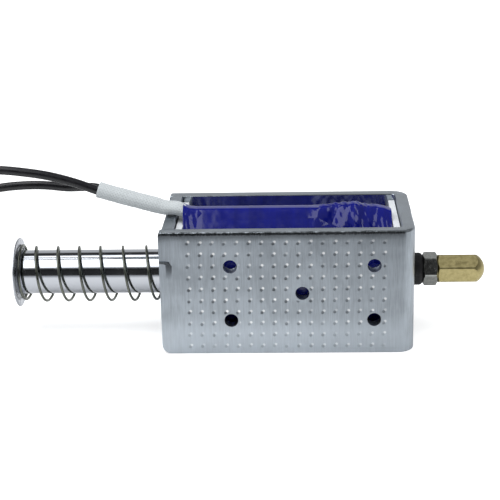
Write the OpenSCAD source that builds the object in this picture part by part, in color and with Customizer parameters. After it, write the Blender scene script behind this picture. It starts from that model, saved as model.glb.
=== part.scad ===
// Open-frame push-pull solenoid with a return spring, a through rod and two flying leads.
// Millimetres. X runs along the plunger, Y from the drilled face to the back, Z up from the sheared edges.
// The whole part is built about the middle of the frame, then shifted so that its own middle is at X = 0.

/* [Frame] */
// Length of the bent frame, end to end
frame_l = 80; // [70:1:110]
// Depth of the frame over both legs
frame_d = 44; // [42:0.5:60]
// Height of the frame strip
frame_h = 40.6; // [40:0.2:60]
// Thickness of the frame's sheet steel
sheet_t = 4; // [3:0.1:4.2]
// Outside radius of the two bends
bend_r = 5.3; // [4.6:0.1:8]
// Lower corner radius at the free ends of the legs
leg_corner_r = 2.8; // [0.5:0.1:6]
// Upper corner radius at the free ends of the legs
leg_top_r = 0.8; // [0.3:0.1:6]
// Thickness of the loose end plate
end_plate_t = 3.5; // [3:0.1:5]
// How far the end plate sits inside the legs' ends
end_plate_inset = 0.9; // [0.2:0.1:2]
// Height of the chisel mark that locks the end plate in each leg
stake_h = 3; // [2:0.5:6]
// Length of that mark over the end plate
stake_l = 2.9; // [2:0.1:2.9]
// Depth to which each mark is driven
stake_depth = 0.6; // [0.3:0.1:1.2]
// Height of the marks above the middle of the frame
stake_z = 8.5; // [4:0.5:11]

/* [Mounting holes] */
// Tapping size of the mounting holes
mount_hole_d = 4.2; // [2.5:0.1:5]
// Spacing of the mounting holes along the frame
mount_pitch_x = 45; // [30:1:56]
// Spacing of the mounting holes up the frame
mount_pitch_z = 18; // [10:0.5:28]
// How far the holes' centre lies from the frame's middle, towards the closed end
mount_shift_x = 4.7; // [0:0.1:6]

/* [Plunger and rod] */
// Diameter of the plunger
plunger_d = 14.5; // [12:0.1:15]
// Travel of the plunger
stroke = 35; // [20:1:36]
// Gap from the end plate to the spring's disc when the coil is off
spring_gap = 49.2; // [48:0.2:60]
// Diameter of the spring's disc
disc_d = 22.8; // [21:0.2:30]
// Thickness of the spring's disc
disc_t = 0.8; // [0.6:0.1:2]
// Diameter of the riveted spigot that holds the disc
spigot_d = 10; // [8:0.5:11]
// Tapping size of the hole in the plunger's outer end
pull_hole_d = 4.2; // [3:0.1:6]
// Depth of that hole
pull_hole_depth = 12; // [6:1:20]
// Small end of the plunger's cone
nose_d = 9.4; // [8.8:0.1:11]
// Length of the plunger's cone
nose_l = 4; // [2:0.5:6]
// Diameter of the push rod
rod_d = 6; // [4:0.1:6.4]
// How deep the rod is pressed into the plunger
rod_seat = 12; // [8:1:20]
// Length of the fixed core
core_l = 17; // [14:0.5:24]
// Diameter of the core's riveted shank in the closed end
shank_d = 11; // [10:0.1:12]
// Outside diameter of the rod's bush
bush_d = 8.6; // [8.2:0.1:9.4]
// Length of the rod's bush
bush_l = 9; // [5:0.5:12]
// Outside diameter of the brass stop washer
stop_washer_d = 9; // [8.6:0.1:9.2]
// Thickness of the brass stop washer
stop_washer_t = 0.5; // [0.3:0.1:1]

/* [Rod end] */
// Diameter of the rubber bumper
bumper_d = 10.6; // [9:0.1:16]
// Thickness of the rubber bumper
bumper_t = 3.85; // [2:0.05:8]
// Radius of the bumper's edges
bumper_edge_r = 1.1; // [0.3:0.1:1.4]
// Lock nut, across flats
nut_af = 9.8; // [8:0.1:14]
// Lock nut thickness
nut_t = 4.8; // [3:0.1:8]
// Domed cap nut, across flats
cap_af = 8.9; // [8:0.1:14]
// Domed cap nut length
cap_l = 15.4; // [11:0.1:24]
// How much the bar's rounded corners take off both nuts' full size over corners
corner_loss = 0.27; // [0.1:0.01:0.5]
// Depth of the cap nut's thread
cap_thread_l = 10.5; // [6:0.5:11]

/* [Return spring] */
// Outside diameter of the spring
spring_d = 18.6; // [17.6:0.1:20]
// Wire diameter
spring_wire_d = 0.9; // [0.6:0.05:1.2]
// Number of working turns
active_turns = 6.5; // [5:0.25:8]
// Closed turns at each end
closed_turns = 1; // [0.75:0.25:1.5]

/* [Coil] */
// Wall of the brass guide tube
tube_wall = 0.6; // [0.4:0.1:0.8]
// How far the guide tube stands out of the end plate to centre the spring
tube_lip = 0.8; // [0.2:0.1:2]
// Wall of the bobbin's barrel
bobbin_wall = 1; // [0.6:0.1:1.5]
// Thickness of the bobbin's flanges
flange_t = 2; // [1.2:0.1:3]
// How far the flanges stay below the frame's edges
flange_drop = 1.6; // [0.5:0.1:4]
// Corner radius of the flanges
flange_r = 2; // [0.5:0.5:5]
// Gap between the winding and the legs
winding_gap = 0.55; // [0.5:0.05:3]
// Thickness of the outer tape
tape_t = 0.3; // [0.1:0.05:0.3]
// Diameter of the insulated splices under the tape
splice_d = 3.4; // [3:0.1:3.6]
// Length of the splices
splice_l = 14; // [8:1:18]

/* [Leads] */
// Diameter of each insulated lead
lead_d = 2.85; // [2:0.05:2.9]
// Diameter of the bare tip of a lead
tip_d = 1.3; // [0.8:0.1:1.6]
// Length of the bare tip of a lead
tip_l = 8; // [4:1:12]
// Height of the woven sleeve round both leads
sleeve_h = 5; // [4.8:0.1:5.2]
// Width of the woven sleeve round both leads
sleeve_w = 7; // [6.6:0.1:7.4]
// Wall of the woven sleeve
sleeve_wall = 0.5; // [0.3:0.1:0.5]

/* [Clearances] */
// Radial running clearance of the plunger and the rod
running_gap = 0.05; // [0.02:0.01:0.1]
// Radial clearance between parts that are pushed together
fit_gap = 0.05; // [0.02:0.01:0.1]
// Free play at the ends of the bobbin
bobbin_play = 0.4; // [0.2:0.05:0.6]
// Gap that keeps a resting face off its stop
rest_gap = 0.1; // [0.05:0.05:0.2]

/* [Hidden] */
$fn = 64;
over = 0.5;

// Stations along X, from the middle of the frame
axis_z = frame_h / 2;
closed_face = frame_l / 2;
inner_right = closed_face - sheet_t;
open_face = -frame_l / 2;
plate_outer = open_face + end_plate_inset;
plate_inner = plate_outer + end_plate_t;
half_gap = frame_d / 2 - sheet_t;
disc_face = plate_outer - spring_gap;
core_face = inner_right - core_l;
core_floor = core_face + nose_l;
nose_stop = core_floor - stop_washer_t - rest_gap / 2;
nose_rest = nose_stop - stroke;
bumper_x = closed_face + rest_gap;
nut_x = bumper_x + bumper_t;
cap_x = nut_x + nut_t;
cap_end = cap_x + cap_l;
rod_end = cap_x + cap_thread_l - over;
part_middle = (disc_face - disc_t + cap_end) / 2;

// Sizes that follow from the fits
tube_bore = plunger_d + 2 * running_gap;
tube_d = tube_bore + 2 * tube_wall;
barrel_bore = tube_d + 2 * fit_gap;
barrel_d = barrel_bore + 2 * bobbin_wall;
bobbin_x0 = plate_inner + bobbin_play;
bobbin_x1 = inner_right - bobbin_play;
wound_x0 = bobbin_x0 + flange_t;
wound_x1 = bobbin_x1 - flange_t;
core_bore = rod_d + 1;
winding_r = min(half_gap, axis_z) - winding_gap;
inner_bend_r = bend_r - sheet_t;
corner_reach = inner_bend_r - min(inner_bend_r, bobbin_play);
flange_side = max(bobbin_play, inner_bend_r - sqrt(pow(inner_bend_r, 2) - pow(corner_reach, 2)) + fit_gap);
flange_y = 2 * (half_gap - flange_side);
flange_z = frame_h - 2 * flange_drop;
spring_r = (spring_d - spring_wire_d) / 2;
nut_ac = nut_af / cos(30) - corner_loss;
cap_ac = cap_af / cos(30) - corner_loss;
tape_r = winding_r + fit_gap + tape_t;
nut_turn = 25;
cap_turn = 50;

// Where the leads lie on the winding: a ridge a little in front of the top
ridge_y = -3;
sleeve_lift = winding_r + sleeve_h / 2 + 0.15;
ridge_z = sqrt(sleeve_lift * sleeve_lift - ridge_y * ridge_y);
ridge_r = sleeve_h / 2 + 0.2;
ridge_half = (sleeve_w - sleeve_h) / 2;
ridge_climb = 1.6;
climb_l = 4.5;
cable_z = axis_z + ridge_z - 0.15;
splice_side = splice_d / 2 + fit_gap;
splice_x0 = wound_x1 - splice_l - 6.6;
sleeve_x1 = splice_x0 - 1;
lead_side = lead_d / 2 + fit_gap;

// The sleeve's middle line: under the tape, over the end plate, then out and up into the air
over_plate = frame_h + sleeve_h / 2 + 0.15;
sleeve_route = [
  [sleeve_x1, cable_z], [wound_x0 + 10, cable_z], [wound_x0 + 5, cable_z], [wound_x0 + 2.5, cable_z + 0.4],
  [wound_x0 + 0.3, cable_z + 1.4], [plate_inner + 0.1, over_plate], [plate_outer - 0.1, over_plate + 0.1],
  [plate_outer - 3.6, over_plate + 0.9], [plate_outer - 7.4, over_plate + 1.9], [plate_outer - 11.9, over_plate + 3.2],
  [plate_outer - 16.9, over_plate + 4.7], [plate_outer - 21.9, over_plate + 6.3]
];
lead_start = [plate_outer - 17, over_plate + 4.73];
mouth = [plate_outer - 21.9, over_plate + 6.3];

// Each lead from inside the sleeve to its coil, in absolute heights
front_route = [
  [lead_start[0], ridge_y - lead_side, lead_start[1]], [mouth[0], ridge_y - lead_side, mouth[1]],
  [-68, -4.6, 52.2], [-76, -4.8, 54.5], [-84, -5, 55.9], [-92, -5, 56.7], [-101, -5, 56.6], [-111, -5, 54.4],
  [-121, -5, 49.4], [-129, -5, 41.5], [-134, -5, 31.5], [-136, -5, 21], [-136, -4, 13], [-136, -0.5, 7.4],
  [-136, 5, 4.7], [-136, 10.5, 4.1], [-136, 16, 4.1]
];
rear_route = [
  [lead_start[0], ridge_y + lead_side, lead_start[1]], [mouth[0], ridge_y + lead_side, mouth[1] - 0.1],
  [-65.5, -1, 49.7], [-71, -0.2, 49.4], [-78.7, 0, 50.1], [-86, 0.3, 50], [-93.5, 0.6, 49.2],
  [-102, 1.2, 47.4], [-111, 2.4, 44.2], [-120.5, 4, 38.8], [-128.5, 5.6, 31.5], [-133.5, 7, 24],
  [-136, 8, 17.5], [-136, 9.4, 13], [-136, 12, 10.5], [-136, 16, 10]
];

// The loose coils lie one on the other on the surface that the part stands on
coil_centre = [-120, 16];
coil_r = 16;
coil_h = 2 * lead_d;
front_tail = [[-104, 16, 1.5], [-104, 9, 1.5], [-103.8, 2, 1.5], [-103.4, -4, 1.5]];
rear_tail = [
  [-104, 16, 7.3], [-104, 10, 7.3], [-103.9, 6, 7], [-105, 1.5, 5.2], [-107, -2.8, 2.9], [-109, -7, 1.6],
  [-110.5, -10.5, 1.5]
];

/* Helpers */

// Children drawn along Z are laid along X, starting at x on the plunger's axis
module on_axis(x) {
  translate([x, 0, axis_z]) rotate([0, 90, 0]) children();
}

// A plain ring or bar from x0 to x1
module turned(x0, x1, outer_d, inner_d = 0) {
  on_axis(x0) difference() {
    cylinder(h = x1 - x0, d = outer_d);
    if (inner_d > 0) translate([0, 0, -over]) cylinder(h = x1 - x0 + 2 * over, d = inner_d);
  }
}

// A hexagon bar along X, with one flat facing the front and tilted up by turn degrees
module hex_bar(x0, x1, across_flats, turn) {
  on_axis(x0) rotate([0, 0, -turn]) cylinder(h = x1 - x0, d = across_flats / cos(30), $fn = 6);
}

function unit(v) = v / norm(v);
function tangent(p, i) = unit(p[min(i + 1, len(p) - 1)] - p[max(i - 1, 0)]);
function across(v, t) = unit(v - (v * t) * t);

// Smooth curve through hand-set points, with cuts pieces to each span
function spline_at(a, b, c, d, t) =
  0.5 * (2 * b + (c - a) * t + (2 * a - 5 * b + 4 * c - d) * t * t + (3 * b - a - 3 * c + d) * t * t * t);
function smooth(p, cuts) = [
  for (i = [0 : len(p) - 2], k = [0 : cuts - 1])
    spline_at(p[max(i - 1, 0)], p[i], p[i + 1], p[min(i + 2, len(p) - 1)], k / cuts),
  p[len(p) - 1]
];

// Side vectors carried along a path without twist
function sides_along(p, first) = [
  for (i = 0, v = across(first, tangent(p, 0)); i < len(p); i = i + 1, v = i < len(p) ? across(v, tangent(p, i)) : v) v
];

// A closed tube swept along a path, w wide along the side vector and h the other way
module swept(p, w, h, n, first = [0, 1, 0]) {
  side = sides_along(p, first);
  rings = [
    for (i = [0 : len(p) - 1], k = [0 : n - 1])
      p[i] + w / 2 * cos(360 * (k + 0.5) / n) * side[i]
        + h / 2 * sin(360 * (k + 0.5) / n) * cross(tangent(p, i), side[i])
  ];
  last = (len(p) - 1) * n;
  skin = [
    for (i = [0 : len(p) - 2], k = [0 : n - 1]) let (a = i * n, b = a + n, m = (k + 1) % n)
      each [[a + k, b + k, b + m], [a + k, b + m, a + m]]
  ];
  ends = [[for (k = [0 : n - 1]) k], [for (k = [n - 1 : -1 : 0]) last + k]];
  polyhedron(points = rings, faces = concat(skin, ends), convexity = 4);
}

/* Frame */

// Outline of the bent strip seen from above
module strip_outline() {
  difference() {
    union() {
      translate([open_face, -frame_d / 2]) square([frame_l - bend_r, frame_d]);
      translate([open_face, -frame_d / 2 + bend_r]) square([frame_l, frame_d - 2 * bend_r]);
      for (s = [-1, 1]) translate([closed_face - bend_r, s * (frame_d / 2 - bend_r)]) circle(r = bend_r);
    }
    inner_r = bend_r - sheet_t;
    translate([open_face - over, -half_gap]) square([inner_right - open_face - inner_r + over, 2 * half_gap]);
    translate([open_face, -half_gap + inner_r]) square([inner_right - open_face, 2 * (half_gap - inner_r)]);
    for (s = [-1, 1]) translate([inner_right - inner_r, s * (half_gap - inner_r)]) circle(r = inner_r);
  }
}

// What rounding takes off a corner that stands at the origin
module corner_cut(r) {
  difference() {
    translate([-over, -over]) square([r + over, r + over]);
    translate([r, r]) circle(r = r);
  }
}

// Side view of the legs, with their rounded corners at the free ends
module leg_profile() {
  difference() {
    translate([open_face, 0]) square([frame_l, frame_h]);
    translate([open_face, 0]) corner_cut(leg_corner_r);
    translate([open_face, frame_h]) mirror([0, 1]) corner_cut(leg_top_r);
  }
}

// Mark that a chisel drives into a leg at height y, from x0; the end plate's notch is the same, grown by a gap
module stake(x0, y, grow) {
  tip = plate_outer + stake_l;
  translate([0, y, axis_z + stake_z]) rotate([90, 0, 0])
    translate([0, 0, -stake_depth - grow]) linear_extrude(2 * (stake_depth + grow)) offset(delta = grow)
      polygon([[x0, stake_h], [tip - 0.7, stake_h], [tip, 0]]);
}

module mount_holes() {
  at = [[0, 0], for (sx = [-1, 1], sz = [-1, 1]) [sx * mount_pitch_x / 2, sz * mount_pitch_z / 2]];
  for (p = at) translate([mount_shift_x + p[0], -half_gap + over, axis_z + p[1]])
    rotate([90, 0, 0]) cylinder(h = sheet_t + 2 * over, d = mount_hole_d);
}

module yoke_frame() {
  color([0.66, 0.69, 0.73]) difference() {
    union() {
      intersection() {
        linear_extrude(frame_h) strip_outline();
        translate([0, frame_d, 0]) rotate([90, 0, 0]) linear_extrude(2 * frame_d) leg_profile();
      }
      for (side = [-1, 1]) stake(plate_outer, side * half_gap, 0);
    }
    mount_holes();
    for (side = [-1, 1]) stake(open_face - over, side * frame_d / 2, 0);
    turned(inner_right - over, closed_face + over, shank_d + 2 * fit_gap);
  }
}

module end_plate() {
  width = 2 * (half_gap - fit_gap);
  color([0.62, 0.65, 0.69]) difference() {
    translate([plate_outer, -width / 2, 0]) cube([end_plate_t, width, frame_h]);
    turned(plate_outer - over, plate_inner + over, tube_d + 2 * fit_gap);
    for (side = [-1, 1]) stake(plate_outer - over, side * half_gap, 2 * fit_gap);
  }
}

/* Coil */

module guide_tube() {
  color([0.78, 0.62, 0.3])
    turned(plate_outer - tube_lip, inner_right - rest_gap, tube_d, tube_bore);
}

module flange(x) {
  translate([x, 0, axis_z]) rotate([90, 0, 90]) linear_extrude(flange_t) difference() {
    union() {
      square([flange_y, flange_z - 2 * flange_r], center = true);
      square([flange_y - 2 * flange_r, flange_z], center = true);
      for (sy = [-1, 1], sz = [-1, 1])
        translate([sy * (flange_y / 2 - flange_r), sz * (flange_z / 2 - flange_r)]) circle(r = flange_r);
    }
    circle(d = barrel_bore);
  }
}

module bobbin() {
  color([0.93, 0.94, 0.93]) {
    turned(bobbin_x0, bobbin_x1, barrel_d, barrel_bore);
    flange(bobbin_x0);
    flange(wound_x1);
  }
}

module coil_winding() {
  color([0.72, 0.38, 0.2])
    turned(wound_x0 + fit_gap, wound_x1 - fit_gap, 2 * winding_r, barrel_d + 2 * fit_gap);
}

// Section of the tape: round the winding, drawn tight over the ridge of the leads
module tape_section(grow, lift = 0) {
  hull() {
    circle(r = tape_r - tape_t + grow);
    for (side = [-1, 1])
      translate([ridge_z + lift, ridge_y + side * ridge_half]) circle(r = ridge_r + grow);
  }
}

// The same section as a slice standing at x, for the stretch where the sleeve climbs
module tape_slice(x, grow, lift) {
  on_axis(x) mirror([1, 0, 0]) linear_extrude(0.02) tape_section(grow, lift);
}

module tape_body(grow, ends) {
  climb_x = wound_x0 + climb_l;
  on_axis(climb_x) mirror([1, 0, 0]) linear_extrude(wound_x1 - 0.2 - climb_x + ends) tape_section(grow);
  hull() {
    tape_slice(climb_x, grow, 0);
    tape_slice(wound_x0 + 0.2 - ends, grow, ridge_climb);
  }
}

module coil_tape() {
  color([0.08, 0.1, 0.5]) difference() {
    tape_body(tape_t, 0);
    tape_body(0, 1);
  }
}

/* Core, plunger and rod */

module fixed_core() {
  color([0.7, 0.72, 0.74]) difference() {
    union() {
      turned(core_face, inner_right - fit_gap, plunger_d);
      turned(inner_right - over, closed_face, shank_d);
    }
    turned(core_face - over, closed_face + over, core_bore);
    turned(closed_face - bush_l, closed_face + over, bush_d + 2 * fit_gap);
    on_axis(core_face) cylinder(h = nose_l, d1 = plunger_d - 0.6, d2 = nose_d + 0.4);
    turned(core_face - over, core_face, plunger_d - 0.6);
  }
}

module rod_bush() {
  color([0.7, 0.48, 0.22]) turned(closed_face - bush_l + fit_gap, closed_face, bush_d, rod_d + 2 * running_gap);
}

module stop_washer() {
  color([0.85, 0.68, 0.3]) turned(core_floor - stop_washer_t, core_floor, stop_washer_d, core_bore);
}

module plunger() {
  shoulder = disc_face - disc_t;
  color([0.85, 0.86, 0.88]) difference() {
    union() {
      turned(disc_face, nose_rest - nose_l, plunger_d);
      turned(shoulder, disc_face + over, spigot_d);
      on_axis(nose_rest - nose_l) cylinder(h = nose_l, d1 = plunger_d - 0.9, d2 = nose_d);
    }
    turned(shoulder - over, shoulder + pull_hole_depth, pull_hole_d);
    turned(nose_rest - rod_seat, nose_rest + over, rod_d + 2 * fit_gap);
  }
}

module spring_disc() {
  color([0.84, 0.85, 0.87])
    turned(disc_face - disc_t, disc_face - fit_gap, disc_d, spigot_d + 2 * fit_gap);
}

module push_rod() {
  color([0.8, 0.81, 0.82]) turned(nose_rest - rod_seat + fit_gap, rod_end, rod_d);
}

/* Return spring */

spring_turns = active_turns + 2 * closed_turns;
spring_x0 = disc_face + spring_wire_d / 2 + fit_gap;
spring_x1 = plate_outer - spring_wire_d / 2 - fit_gap;
closed_l = closed_turns * (spring_wire_d + 0.02);
active_pitch = (spring_x1 - spring_x0 - 2 * closed_l) / active_turns;
spring_phase = 140;

function spring_x(u) =
  u < closed_turns ? spring_x0 + closed_l * u / closed_turns
  : u > closed_turns + active_turns ? spring_x1 - closed_l * (spring_turns - u) / closed_turns
  : spring_x0 + closed_l + (u - closed_turns) * active_pitch;

module return_spring() {
  steps = ceil(spring_turns * 20);
  path = [
    for (i = [0 : steps]) let (u = i * spring_turns / steps, a = spring_phase + 360 * u)
      [spring_x(u), -spring_r * sin(a), axis_z + spring_r * cos(a)]
  ];
  color([0.4, 0.41, 0.36]) swept(path, spring_wire_d, spring_wire_d, 8, [1, 0, 0]);
}

/* Rod end */

module rubber_bumper() {
  r = bumper_edge_r;
  color([0.07, 0.07, 0.08]) on_axis(bumper_x) rotate_extrude() difference() {
    union() {
      translate([0, r]) square([bumper_d / 2, bumper_t - 2 * r]);
      square([bumper_d / 2 - r, bumper_t]);
      for (z = [r, bumper_t - r]) translate([bumper_d / 2 - r, z]) circle(r = r);
    }
    translate([-over - bumper_d, -over]) square([bumper_d + over + rod_d / 2 + fit_gap, bumper_t + 2 * over]);
  }
}

// Half outline that trims a hexagon bar: 30 degree chamfers at the chosen ends
module trimmed_outline(length, across_flats, across_corners, both) {
  corner = across_corners / 2;
  rise = (across_corners - across_flats) / 2 * tan(30) + 0.25;
  inset = rise / tan(30);
  polygon([
    [0, 0], [corner - inset, 0], [corner, rise],
    [corner, both ? length - rise : length], [both ? corner - inset : corner, length], [0, length]
  ]);
}

module lock_nut() {
  color([0.6, 0.61, 0.62]) difference() {
    intersection() {
      hex_bar(nut_x, cap_x, nut_af, nut_turn);
      on_axis(nut_x) rotate_extrude() trimmed_outline(nut_t, nut_af, nut_ac, true);
    }
    turned(nut_x - over, cap_x + over, rod_d + 2 * fit_gap);
  }
}

module cap_nut() {
  dome_r = cap_ac / 2 + 0.2;
  color([0.62, 0.56, 0.34]) difference() {
    intersection() {
      hex_bar(cap_x, cap_end + over, cap_af, cap_turn);
      on_axis(cap_x) rotate_extrude() intersection() {
        trimmed_outline(cap_l + over, cap_af, cap_ac, false);
        union() {
          square([dome_r, cap_l - dome_r]);
          translate([0, cap_l - dome_r]) circle(r = dome_r);
        }
      }
    }
    turned(cap_x - over, cap_x + cap_thread_l, rod_d + 2 * fit_gap);
  }
}

/* Leads */

module lead_splices() {
  color([0.85, 0.86, 0.8]) for (s = [-1, 1])
    translate([splice_x0, ridge_y + s * splice_side, cable_z])
      rotate([0, 90, 0]) cylinder(h = splice_l, d = splice_d);
}

sleeve_path = smooth([for (p = sleeve_route) [p[0], ridge_y, p[1]]], 1);
sleeve_mouth = sleeve_path[len(sleeve_path) - 1];

module lead_tails() {
  inner = [for (i = [0 : len(sleeve_path) - 2]) sleeve_path[i]];
  start = [splice_x0 - fit_gap, ridge_y, cable_z];
  color([0.06, 0.06, 0.07]) for (s = [-1, 1])
    swept([for (p = concat([start], inner)) p + [0, s * lead_side, 0]], lead_d, lead_d, 8);
}

module lead_sleeve() {
  first = sleeve_path[0] + [1, 0, 0];
  past = sleeve_mouth + over * unit(sleeve_mouth - sleeve_path[len(sleeve_path) - 2]);
  color([0.86, 0.89, 0.88]) difference() {
    swept(sleeve_path, sleeve_w, sleeve_h, 16);
    swept(concat([first], sleeve_path, [past]), sleeve_w - 2 * sleeve_wall, sleeve_h - 2 * sleeve_wall, 16);
  }
}

module front_lead() {
  color([0.06, 0.06, 0.07]) {
    swept(front_route, lead_d, lead_d, 8);
    swept(front_tail, lead_d, lead_d, 8, [1, 0, 0]);
  }
}

module rear_lead() {
  color([0.06, 0.06, 0.07]) {
    swept(rear_route, lead_d, lead_d, 8);
    swept(rear_tail, lead_d, lead_d, 8, [1, 0, 0]);
  }
}

module loose_coil(z) {
  translate([coil_centre[0], coil_centre[1], z]) rotate_extrude()
    translate([coil_r - lead_d / 2, 0]) square([lead_d, coil_h]);
}

module front_lead_coil() {
  color([0.06, 0.06, 0.07]) loose_coil(0);
}

module rear_lead_coil() {
  color([0.06, 0.06, 0.07]) loose_coil(coil_h + fit_gap);
}

module tip(tail) {
  last = len(tail) - 1;
  way = unit(tail[last] - tail[last - 1]);
  swept([tail[last], tail[last] + tip_l * way], tip_d, tip_d, 8, [1, 0, 0]);
}

module lead_tips() {
  color([0.78, 0.78, 0.76]) {
    tip(front_tail);
    tip(rear_tail);
  }
}

module lead_tie() {
  wall = 0.6;
  high = 2 * coil_h + 2 * fit_gap;
  color([0.1, 0.1, 0.11]) translate([coil_centre[0] + coil_r, coil_centre[1] - 1.2, 0]) difference() {
    translate([-lead_d / 2 - wall - 0.1, 0, 0]) cube([lead_d + 2 * wall + 0.2, 2.4, high + wall]);
    translate([-lead_d / 2 - 0.1, -over, -over]) cube([lead_d + 0.2, 2.4 + 2 * over, high + over]);
  }
}

module placed() {
  translate([-part_middle, 0, 0]) children();
}

placed() yoke_frame();
placed() end_plate();
placed() guide_tube();
placed() bobbin();
placed() coil_winding();
placed() coil_tape();
placed() fixed_core();
placed() rod_bush();
placed() stop_washer();
placed() plunger();
placed() spring_disc();
placed() push_rod();
placed() return_spring();
placed() rubber_bumper();
placed() lock_nut();
placed() cap_nut();
placed() lead_splices();
placed() lead_tails();
placed() lead_sleeve();
placed() front_lead();
placed() rear_lead();
placed() front_lead_coil();
placed() rear_lead_coil();
placed() lead_tips();
placed() lead_tie();
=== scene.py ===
"""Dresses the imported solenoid: plated frame, taped coil, sprung plunger, nuts, woven sleeve and leads."""

import math

import bmesh
import bpy
import numpy as np
from mathutils import Matrix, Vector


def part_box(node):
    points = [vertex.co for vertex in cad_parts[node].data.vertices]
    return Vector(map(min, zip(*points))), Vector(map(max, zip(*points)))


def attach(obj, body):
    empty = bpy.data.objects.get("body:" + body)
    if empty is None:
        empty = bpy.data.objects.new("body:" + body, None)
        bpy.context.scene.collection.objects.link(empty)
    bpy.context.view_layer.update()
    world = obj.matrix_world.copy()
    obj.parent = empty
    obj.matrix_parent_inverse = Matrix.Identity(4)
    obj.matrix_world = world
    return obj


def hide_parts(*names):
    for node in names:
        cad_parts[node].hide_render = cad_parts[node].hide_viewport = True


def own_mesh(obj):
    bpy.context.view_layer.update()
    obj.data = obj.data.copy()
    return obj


bl_info = {
    "name": "Push Pull Solenoid",
    "version": (1, 0, 0),
    "blender": (4, 5, 0),
    "location": "3D View > Sidebar > Solenoid",
    "description": "Builds the finishes and detailed pieces of an open-frame push-pull solenoid",
    "category": "Object",
}

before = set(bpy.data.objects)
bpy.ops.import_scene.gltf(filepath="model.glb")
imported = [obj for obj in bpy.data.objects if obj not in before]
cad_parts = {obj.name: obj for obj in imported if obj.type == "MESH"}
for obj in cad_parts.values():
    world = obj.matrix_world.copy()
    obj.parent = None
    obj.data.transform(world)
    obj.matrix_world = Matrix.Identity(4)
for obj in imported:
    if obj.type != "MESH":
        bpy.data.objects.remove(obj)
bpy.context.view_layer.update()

MM = 0.001
FRAME_BODY = "frame"
PLUNGER_BODY = "plunger_assembly"
YOKE_LOW, YOKE_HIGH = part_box("yoke_frame")
MID_X = (YOKE_LOW.x + YOKE_HIGH.x) / 2 / MM
AXIS_Z = (YOKE_LOW.z + YOKE_HIGH.z) / 2 / MM
HALF_L = (YOKE_HIGH.x - YOKE_LOW.x) / 2 / MM
DEPTH = (YOKE_HIGH.y - YOKE_LOW.y) / MM
HEIGHT = (YOKE_HIGH.z - YOKE_LOW.z) / MM


def span_x(node):
    """The first and last X of a CAD node in millimetres, counted from the frame's middle."""
    low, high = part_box(node)
    return low.x / MM - MID_X, high.x / MM - MID_X


def radius_of(node):
    """Half a CAD node's depth, in millimetres: the radius of a turned piece."""
    low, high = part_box(node)
    return (high.y - low.y) / 2 / MM


HOLE_X = 4.7
HOLES = [(0, 0), (-22.5, -9), (-22.5, 9), (22.5, -9), (22.5, 9)]
TAP_R, THREAD_PITCH = 2.1, 0.8
SHANK_HOLE_R = 5.55
ROD_HOLE_R = 3.03
SHEET, BEND_R = 4.0, 5.3
LOWER_CORNER_R, UPPER_CORNER_R = 2.8, 0.8
RIDGE_Y, RIDGE_R, RIDGE_UP = -3.0, 2.95, 19.83
FILM = 0.28
SPIGOT_R, CONE_DEPTH, ROD_SOCKET_R, ROD_SOCKET_DEPTH = 5.0, 4.0, 3.02, 12.0
WIRE_D = 0.86
LOCK_NUT = {"flats": 9.8, "corners": 11.05, "turn": 25.0}
CAP_NUT = {"flats": 8.9, "corners": 10.0, "turn": 50.0, "dome": 5.2}
CAP_BORE_DEPTH = 10.5
SLEEVE_OUTSIDE, SLEEVE_INSIDE = 6.95, 6.05


# --- meshes


def grid_quads(rows, columns, wrap_rows=False, wrap_columns=False):
    """Corner indices of each quad of a rows by columns grid, with either direction closed on itself."""
    i = np.arange(rows if wrap_rows else rows - 1)
    j = np.arange(columns if wrap_columns else columns - 1)
    i, j = np.meshgrid(i, j, indexing="ij")
    i2, j2 = (i + 1) % rows, (j + 1) % columns
    corners = [i * columns + j, i2 * columns + j, i2 * columns + j2, i * columns + j2]
    return np.stack(corners, -1).reshape(-1, 4)


def tube_faces(rows, count):
    """The quads of a grid closed round its columns, then a flat face on its first and on its last row."""
    last = (rows - 1) * count
    ends = [list(range(count)), [last + k for k in reversed(range(count))]]
    return grid_quads(rows, count, False, True).tolist() + ends


def tube_uv(quads, count, along):
    """Each corner's UV pair for a grid's quads: u runs once round the section, v is the distance along."""
    row, column = quads[:, 0] // count, quads[:, 0] % count
    following = np.minimum(row + 1, len(along) - 1)
    u = np.stack([column, column, column + 1, column + 1], -1) / count
    v = np.stack([along[row], along[following], along[following], along[row]], -1)
    return np.stack([u, v], -1).reshape(-1, 2)


def as_grid(rows, shape):
    """Two arrays from rows of (first, second), each of which is one value or one for each column."""
    return (np.stack([np.broadcast_to(row[k], shape) for row in rows]) for k in (0, 1))


def in_scene(points):
    """Points in millimetres about the frame's middle, as metres in the scene."""
    return (np.asarray(points, float) + [MID_X, 0.0, 0.0]) * MM


def add_object(name, data):
    """A new object of the scene that holds the data."""
    item = bpy.data.objects.new(name, data)
    bpy.context.scene.collection.objects.link(item)
    return item


def new_piece(name, points, faces, sharp=35.0, uv=None):
    """A closed mesh object from points in millimetres about the frame's middle; its place is in its mesh.

    faces is a list of corner tuples. Equal points are merged and the faces turned outwards. uv gives each
    corner's pair.
    """
    mesh = bpy.data.meshes.new(name)
    mesh.from_pydata(in_scene(points).tolist(), [], [tuple(int(k) for k in f) for f in faces])
    if uv is not None:
        layer = mesh.uv_layers.new(name="Along")
        layer.data.foreach_set("uv", np.asarray(uv, np.float32).ravel())
    work = bmesh.new()
    work.from_mesh(mesh)
    bmesh.ops.remove_doubles(work, verts=work.verts, dist=1e-7)
    bmesh.ops.dissolve_degenerate(work, edges=work.edges, dist=1e-8)
    bmesh.ops.recalc_face_normals(work, faces=work.faces)
    work.to_mesh(mesh)
    work.free()
    mesh.shade_smooth()
    mesh.set_sharp_from_angle(angle=math.radians(sharp))
    return add_object(name, mesh)


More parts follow.
